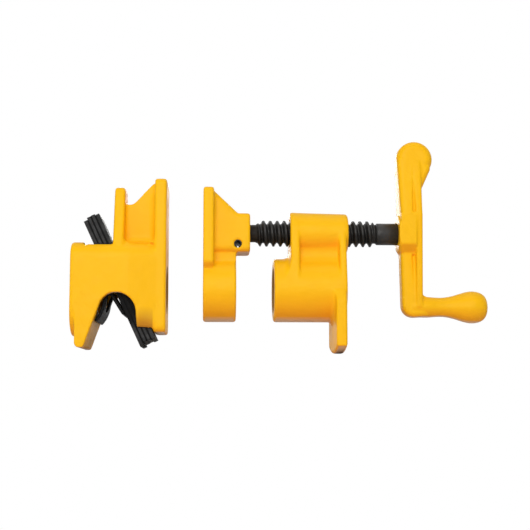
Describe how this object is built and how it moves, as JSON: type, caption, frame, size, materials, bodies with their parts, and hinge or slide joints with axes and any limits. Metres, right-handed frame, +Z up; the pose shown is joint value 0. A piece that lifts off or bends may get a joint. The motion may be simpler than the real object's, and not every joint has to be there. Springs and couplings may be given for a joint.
{
  "type": "woodworking pipe clamp fixture",
  "caption": "Two-piece clamp fixture for a steel pipe: screw head with crank and sliding jaw, and a clutch-held tail jaw.",
  "frame": {"origin": "centre of the mouth of the pipe socket in the head, on the pipe's axis", "axes": "+X along the pipe from the jaws to the crank, +Z up from the pipe's axis to the screw, +Y to the far side when the crank is on the right"},
  "size_m": [0.2516, 0.046, 0.1308],
  "materials": {
    "yellow_enamel": "glossy stove enamel over a sand casting",
    "black_steel": "black oxide on machined or rolled steel",
    "spring_steel": "blued spring strip"
  },
  "bodies": {
    "head": {"head_body": "yellow_enamel"},
    "jaw": {"front_jaw": "yellow_enamel", "jaw_roll_pin": "black_steel"},
    "screw": {"clamp_screw": "black_steel", "crank_handle": "yellow_enamel"},
    "tail": {"tail_body": "yellow_enamel", "clutch_spring": "spring_steel"},
    "clutch": {"clutch_plate_1": "black_steel", "clutch_plate_2": "black_steel", "clutch_plate_3": "black_steel", "clutch_plate_4": "black_steel"}
  },
  "joints": [
    {"name": "jaw_travel", "type": "slide", "parent": "head", "child": "jaw", "axis": [1, 0, 0], "range_m": [-0.016, 0.0225]},
    {"name": "screw_turn", "type": "hinge", "parent": "jaw", "child": "screw", "pos_m": [0, 0, 0.035], "axis": [1, 0, 0], "range_deg": [-1350, 1890]},
    {"name": "tail_slide", "type": "slide", "parent": "head", "child": "tail", "axis": [1, 0, 0], "range_m": [-0.166, 0.005]},
    {"name": "clutch_tilt", "type": "hinge", "parent": "tail", "child": "clutch", "pos_m": [-0.09709, 0, 0.0285], "axis": [0, 1, 0], "range_deg": [0, 20], "stiffness_Nm_per_rad": 0.4, "springref_deg": -20.05, "deforming": ["clutch_spring"]}
  ],
  "couplings": [
    {"joint": "jaw_travel", "follows": "screw_turn", "m_per_rad": 0.00067376}
  ]
}
